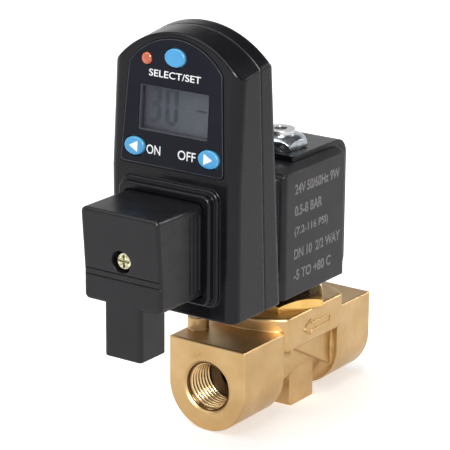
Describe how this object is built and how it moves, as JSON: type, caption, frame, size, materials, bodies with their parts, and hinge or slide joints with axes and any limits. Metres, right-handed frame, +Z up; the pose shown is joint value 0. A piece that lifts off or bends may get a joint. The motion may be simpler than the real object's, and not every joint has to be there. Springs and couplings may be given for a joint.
{
  "type": "automatic drain valve",
  "caption": "Brass pilot-operated drain valve with two in-line threaded ports, a solenoid coil, an arched timer with display and push keys, and a screwed cable plug.",
  "frame": {"origin": "centre of the flat underside of the square boss, on the axis of the armature tube", "axes": "+Z up along the armature tube, -Y out of the outlet port and out of the display face, +Y out of the inlet port, +X to the right when facing the display"},
  "size_m": [0.0488, 0.1243, 0.139],
  "materials": {
    "cast_brass": "satin cast and machined brass",
    "turned_brass": "turned",
    "black_rubber": "matte",
    "spring_steel": "drawn wire",
    "stainless": "turned",
    "copper": "bare copper",
    "coil_plastic": "fine-grained moulding",
    "bobbin_nylon": "natural nylon",
    "yoke_steel": "grey coated steel strip",
    "tinned_brass": "tinned",
    "zinc_steel": "zinc plated",
    "plated_nut": "bright plated",
    "housing_plastic": "satin black moulding",
    "label_film": "printed film",
    "window": "clear",
    "lcd_glass": "grey-green display",
    "amber_lens": "translucent",
    "key_blue": "satin",
    "switch_black": "plain",
    "board_green": "solder mask",
    "relay_plastic": "plain",
    "core_steel": "laminated",
    "can_aluminium": "drawn can",
    "nylon_washer": "plain",
    "gold_screw": "yellow passivated"
  },
  "bodies": {
    "valve": {"valve_body": "cast_brass", "diaphragm_rim": "black_rubber", "diaphragm_skirt": "black_rubber", "diaphragm_spring": "spring_steel", "bonnet": "turned_brass", "armature_tube": "stainless", "fixed_core": "stainless", "shading_ring": "copper", "plunger_spring": "spring_steel", "tube_seal": "black_rubber", "nut_washer": "zinc_steel", "coil_nut": "plated_nut"},
    "plunger": {"plunger": "stainless", "plunger_seal": "black_rubber"},
    "diaphragm": {"diaphragm_pad": "black_rubber", "diaphragm_disc": "turned_brass"},
    "test_key": {"test_key": "key_blue"},
    "on_key": {"on_key": "key_blue"},
    "off_key": {"off_key": "key_blue"},
    "head": {"coil_moulding": "coil_plastic", "coil_bobbin": "bobbin_nylon", "coil_winding": "copper", "coil_yoke": "yoke_steel", "coil_blades": "tinned_brass", "coil_insert": "turned_brass", "rear_gasket": "black_rubber", "timer_front_shell": "housing_plastic", "timer_rear_cover": "housing_plastic", "case_screws": "zinc_steel", "front_label": "label_film", "lcd_window": "window", "lcd_module": "lcd_glass", "status_led": "amber_lens", "tact_switches": "switch_black", "main_board": "board_green", "power_board": "board_green", "front_blades": "tinned_brass", "rear_sockets": "tinned_brass", "relay": "relay_plastic", "transformer": "core_steel", "capacitor": "can_aluminium", "board_header": "switch_black", "front_gasket": "black_rubber", "plug_housing": "housing_plastic", "terminal_block": "housing_plastic", "plug_contacts": "tinned_brass", "clamp_screws": "zinc_steel", "screw_washer": "nylon_washer", "plug_screw": "gold_screw", "cable_grommet": "black_rubber", "gland_washer": "zinc_steel", "gland_nut": "housing_plastic"}
  },
  "joints": [
    {"name": "head_swivel", "type": "hinge", "parent": "valve", "child": "head", "pos_m": [0, 0, 0.0425], "axis": [0, 0, 1], "continuous": true},
    {"name": "plunger_lift", "type": "slide", "parent": "valve", "child": "plunger", "axis": [0, 0, 1], "range_m": [0, 0.003], "stiffness_N_per_m": 150, "springref_m": -0.004, "deforming": ["plunger_spring"]},
    {"name": "diaphragm_lift", "type": "slide", "parent": "valve", "child": "diaphragm", "axis": [0, 0, 1], "range_m": [0, 0.0022], "stiffness_N_per_m": 80, "springref_m": -0.003, "deforming": ["diaphragm_spring", "diaphragm_skirt"]},
    {"name": "test_key_press", "type": "slide", "parent": "head", "child": "test_key", "axis": [0, 0.9976, -0.0698], "range_m": [0, 0.0005], "stiffness_N_per_m": 400},
    {"name": "on_key_press", "type": "slide", "parent": "head", "child": "on_key", "axis": [0, 0.9976, -0.0698], "range_m": [0, 0.0005], "stiffness_N_per_m": 400},
    {"name": "off_key_press", "type": "slide", "parent": "head", "child": "off_key", "axis": [0, 0.9976, -0.0698], "range_m": [0, 0.0005], "stiffness_N_per_m": 400}
  ],
  "couplings": [
    {"joint": "diaphragm_lift", "follows": "plunger_lift", "ratio": 0.73333}
  ]
}
